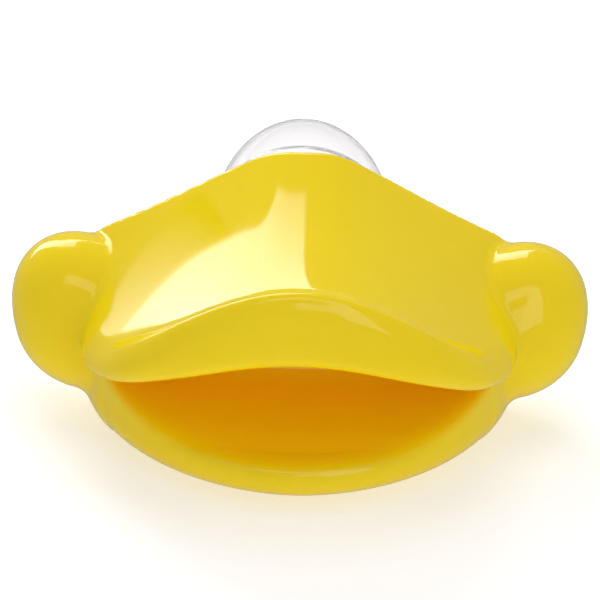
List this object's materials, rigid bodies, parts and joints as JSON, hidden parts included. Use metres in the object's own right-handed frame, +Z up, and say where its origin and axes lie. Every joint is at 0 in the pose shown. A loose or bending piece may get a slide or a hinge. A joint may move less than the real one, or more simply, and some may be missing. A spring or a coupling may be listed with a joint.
{
  "type": "duck-bill pacifier",
  "caption": "Novelty pacifier: a glossy hollow duck's bill on a curved face shield, with a clear soft nipple that bends at its neck.",
  "frame": {"origin": "middle of the flat foot under the lower bill", "axes": "+Z up from the table, +Y from the bill towards the wearer along the nipple, +X across the bill"},
  "size_m": [0.058, 0.0541, 0.0299],
  "materials": {
    "bill": "polished yellow moulding",
    "shield": "smooth yellow moulding",
    "silicone": "clear soft silicone",
    "ring": "natural white moulding",
    "plug": "natural white moulding"
  },
  "bodies": {
    "guard": {"bill_shell": "bill", "face_shield": "shield", "nipple_root": "silicone", "lock_ring": "ring", "retaining_plug": "plug"},
    "nipple": {"nipple_bulb": "silicone"}
  },
  "joints": [
    {"name": "nipple_bend", "type": "hinge", "parent": "guard", "child": "nipple", "pos_m": [0, 0.013, 0.0132], "axis": [1, 0, 0], "range_deg": [-20, 20], "stiffness_Nm_per_rad": 0.03}
  ]
}
